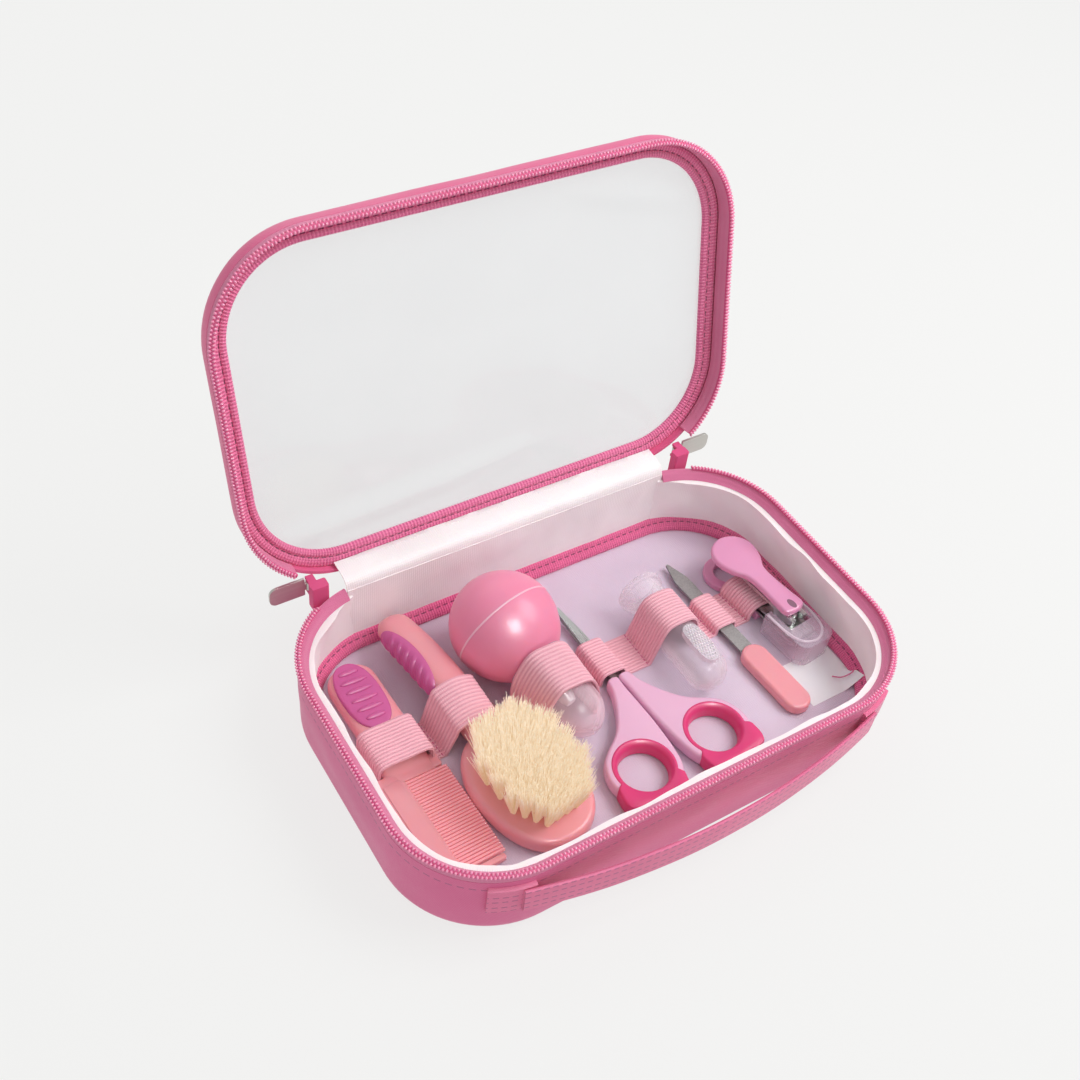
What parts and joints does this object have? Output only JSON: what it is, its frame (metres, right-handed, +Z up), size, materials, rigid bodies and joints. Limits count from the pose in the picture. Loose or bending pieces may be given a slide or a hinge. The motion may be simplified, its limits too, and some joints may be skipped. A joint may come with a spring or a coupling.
{
  "type": "baby grooming kit",
  "caption": "Zipped soft case with a clear-window lid and a carry handle, holding a comb, brush, nasal aspirator, scissors, finger toothbrush, nail file and nail clipper under an elastic strap.",
  "frame": {"origin": "centre of the case's underside", "axes": "+X along the case's width, +Y towards the lid hinge, +Z up"},
  "size_m": [0.2212, 0.1989, 0.1762],
  "materials": {
    "shell": "woven nylon",
    "board": "plain board",
    "lining": "white woven lining",
    "binding": "ribbed tape",
    "zip": "zip tape and coil",
    "pull_metal": "plated metal",
    "webbing": "woven webbing",
    "window": "clear film",
    "elastic": "ribbed elastic",
    "salmon": "gloss",
    "purple_grip": "soft grip",
    "natural_bristle": "natural bristle",
    "bulb_pink": "soft rubber",
    "nozzle_clear": "clear plastic",
    "white_plastic": "gloss",
    "steel": "polished steel",
    "lilac_handle": "gloss",
    "finger_soft": "soft insert",
    "silicone": "clear silicone",
    "file_steel": "grit",
    "clipper_pink": "gloss",
    "catcher_clear": "clear plastic",
    "card": "plain card"
  },
  "bodies": {
    "case": {"case_shell": "shell", "base_board": "board", "case_lining": "lining", "floor_binding": "binding", "hinge_panel": "lining", "hinge_strip": "binding", "zip_tape_case": "zip", "zip_coil_case": "zip", "zip_slider_left": "pull_metal", "zip_slider_right": "pull_metal", "handle_tab_left": "webbing", "handle_tab_right": "webbing", "label_card": "card", "elastic_comb": "elastic", "elastic_brush": "elastic", "elastic_aspirator": "elastic", "elastic_scissor": "elastic", "elastic_toothbrush": "elastic", "elastic_file": "elastic", "elastic_clipper": "elastic"},
    "handle": {"handle_strap": "webbing"},
    "lid": {"lid_wall": "shell", "lid_window": "window", "lid_binding": "binding", "lid_hinge_strip": "binding", "zip_tape_lid": "zip", "zip_coil_lid": "zip"},
    "pull_left": {"zip_pull_left": "pull_metal"},
    "pull_right": {"zip_pull_right": "pull_metal"},
    "comb": {"comb_body": "salmon", "comb_grip": "purple_grip"},
    "brush": {"brush_body": "salmon", "brush_grip": "purple_grip", "brush_bristles": "natural_bristle"},
    "nozzle": {"aspirator_nozzle": "nozzle_clear", "aspirator_cone": "white_plastic"},
    "bulb": {"aspirator_bulb": "bulb_pink"},
    "scissors": {"scissor_rivet": "steel"},
    "scissor_a": {"scissor_blade_a": "steel", "scissor_handle_a": "lilac_handle", "finger_ring_a": "finger_soft"},
    "scissor_b": {"scissor_blade_b": "steel", "scissor_handle_b": "lilac_handle", "finger_ring_b": "finger_soft"},
    "toothbrush": {"toothbrush_sleeve": "silicone", "toothbrush_bristles": "silicone"},
    "file": {"file_blade": "file_steel", "file_handle": "salmon"},
    "clipper": {"clipper_lower_arm": "steel", "clipper_lower_grip": "clipper_pink", "clipper_rivet": "steel", "clipper_post": "steel"},
    "clipper_upper": {"clipper_upper_arm": "steel"},
    "lever": {"clipper_lever": "steel", "clipper_lever_grip": "clipper_pink"},
    "catcher": {"nail_catcher": "catcher_clear"}
  },
  "joints": [
    {"name": "lid_hinge", "type": "hinge", "parent": "case", "child": "lid", "pos_m": [0, 0.072, 0.0365], "axis": [-1, 0, 0], "range_deg": [-103, 77]},
    {"name": "handle_bow", "type": "slide", "parent": "case", "child": "handle", "axis": [0, -1, 0], "range_m": [-0.006, 0.006], "deforming": ["handle_strap"]},
    {"name": "zip_pull_left_swing", "type": "hinge", "parent": "case", "child": "pull_left", "pos_m": [-0.0876, 0.07568, 0.0376], "axis": [0, 0, -1], "range_deg": [-40, 30]},
    {"name": "zip_pull_right_swing", "type": "hinge", "parent": "case", "child": "pull_right", "pos_m": [0.0876, 0.07568, 0.0376], "axis": [0, 0, 1], "range_deg": [-40, 30]},
    {"name": "comb_lift", "type": "slide", "parent": "case", "child": "comb", "axis": [0, 0, 1], "range_m": [0, 0.12], "deforming": ["elastic_comb"]},
    {"name": "brush_lift", "type": "slide", "parent": "case", "child": "brush", "axis": [0, 0, 1], "range_m": [0, 0.12], "deforming": ["elastic_brush"]},
    {"name": "aspirator_lift", "type": "slide", "parent": "case", "child": "nozzle", "axis": [0, 0, 1], "range_m": [0, 0.12], "deforming": ["elastic_aspirator"]},
    {"name": "scissor_lift", "type": "slide", "parent": "case", "child": "scissors", "axis": [0, 0, 1], "range_m": [0, 0.12], "deforming": ["elastic_scissor"]},
    {"name": "toothbrush_lift", "type": "slide", "parent": "case", "child": "toothbrush", "axis": [0, 0, 1], "range_m": [0, 0.12], "deforming": ["elastic_toothbrush"]},
    {"name": "file_lift", "type": "slide", "parent": "case", "child": "file", "axis": [0, 0, 1], "range_m": [0, 0.12], "deforming": ["elastic_file"]},
    {"name": "clipper_lift", "type": "slide", "parent": "case", "child": "clipper", "axis": [0, 0, 1], "range_m": [0, 0.12], "deforming": ["elastic_clipper"]},
    {"name": "bulb_pull", "type": "slide", "parent": "nozzle", "child": "bulb", "axis": [-0.1866, 0.9602, 0.2079], "range_m": [0, 0.009]},
    {"name": "scissor_b_open", "type": "hinge", "parent": "scissors", "child": "scissor_b", "pos_m": [0.0098, 0.008, 0.0057], "axis": [0, 0, 1], "range_deg": [0, 3]},
    {"name": "scissor_a_open", "type": "hinge", "parent": "scissors", "child": "scissor_a", "pos_m": [0.0098, 0.008, 0.0057], "axis": [0, 0, -1], "range_deg": [0, 3]},
    {"name": "lever_press", "type": "hinge", "parent": "clipper", "child": "lever", "pos_m": [0.09099, -0.0114, 0.0145], "axis": [-0.9945, -0.1045, 0], "range_deg": [0, 8], "stiffness_Nm_per_rad": 0.4},
    {"name": "jaw_close", "type": "hinge", "parent": "clipper", "child": "clipper_upper", "pos_m": [0.08858, 0.01148, 0.00735], "axis": [0.9945, 0.1045, 0], "range_deg": [0, 1.6]},
    {"name": "catcher_slide", "type": "slide", "parent": "clipper", "child": "catcher", "axis": [0.1045, -0.9945, 0], "range_m": [0, 0.009]}
  ],
  "couplings": [
    {"joint": "scissor_a_open", "follows": "scissor_b_open", "ratio": 1},
    {"joint": "jaw_close", "follows": "lever_press", "ratio": 0.2}
  ]
}
